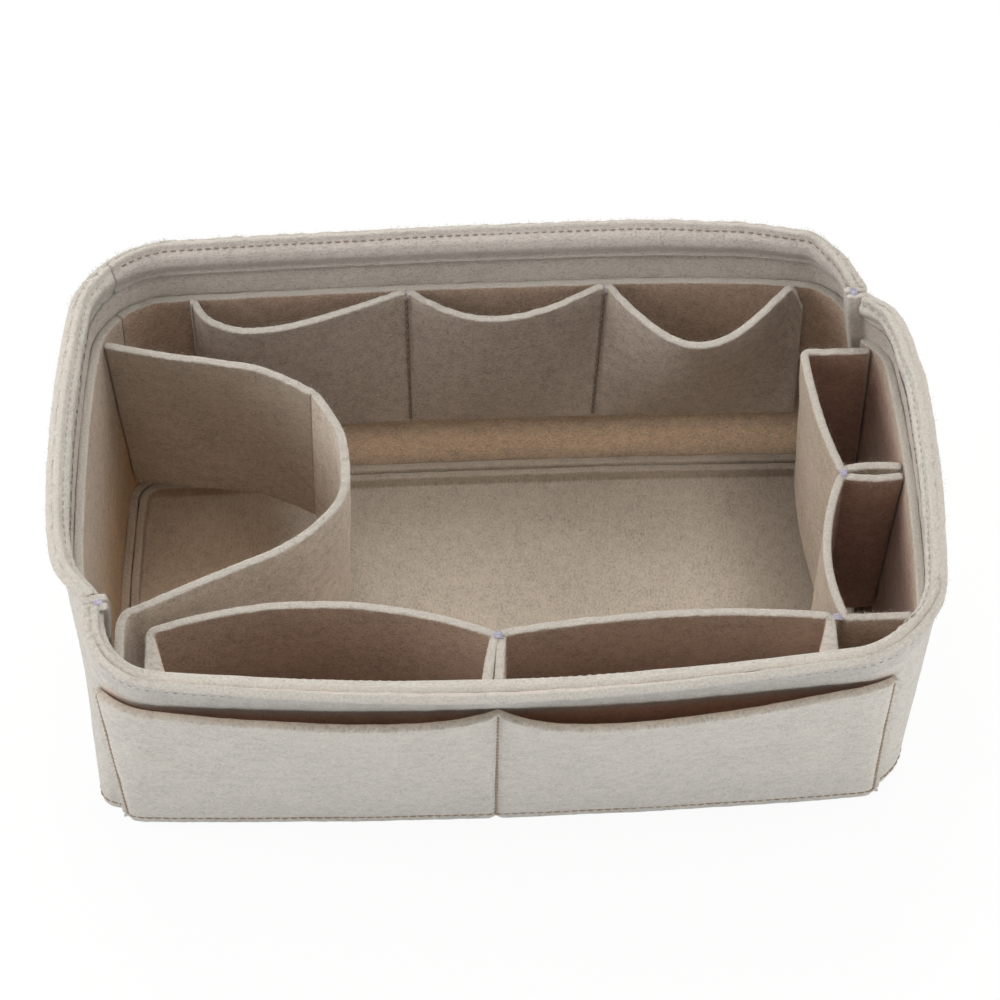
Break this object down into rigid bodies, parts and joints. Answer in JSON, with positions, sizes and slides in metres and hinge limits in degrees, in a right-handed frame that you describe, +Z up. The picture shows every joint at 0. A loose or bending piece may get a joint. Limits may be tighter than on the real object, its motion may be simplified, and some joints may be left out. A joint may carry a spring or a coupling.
{
  "type": "purse organizer insert",
  "caption": "Open-topped felt insert that sorts a handbag, with flared walls, a bottle loop, box pockets and bellows pockets inside, and slip pockets outside.",
  "frame": {"origin": "middle of the bounding box, on the plane that the insert stands on", "axes": "+Z up, +X along the length towards the two side pockets, +Y towards the wall with the bellows pockets"},
  "size_m": [0.3, 0.194, 0.1183],
  "materials": {
    "felt": "matte greige needle felt with a short nap"
  },
  "bodies": {
    "root": {"base_panel": "felt", "base_welt": "felt", "wall_front_right": "felt", "wall_back_left": "felt", "rim_facing_front_right": "felt", "rim_facing_back": "felt", "rim_facing_left": "felt", "lining_front": "felt", "lining_right": "felt", "lining_back": "felt", "lining_left": "felt", "back_pocket_left": "felt", "back_pocket_middle": "felt", "back_pocket_right": "felt", "front_pocket_left": "felt", "front_pocket_right": "felt", "side_pocket_front": "felt", "side_pocket_back": "felt", "bottle_loop": "felt", "outer_pocket_panel": "felt"}
  },
  "joints": []
}
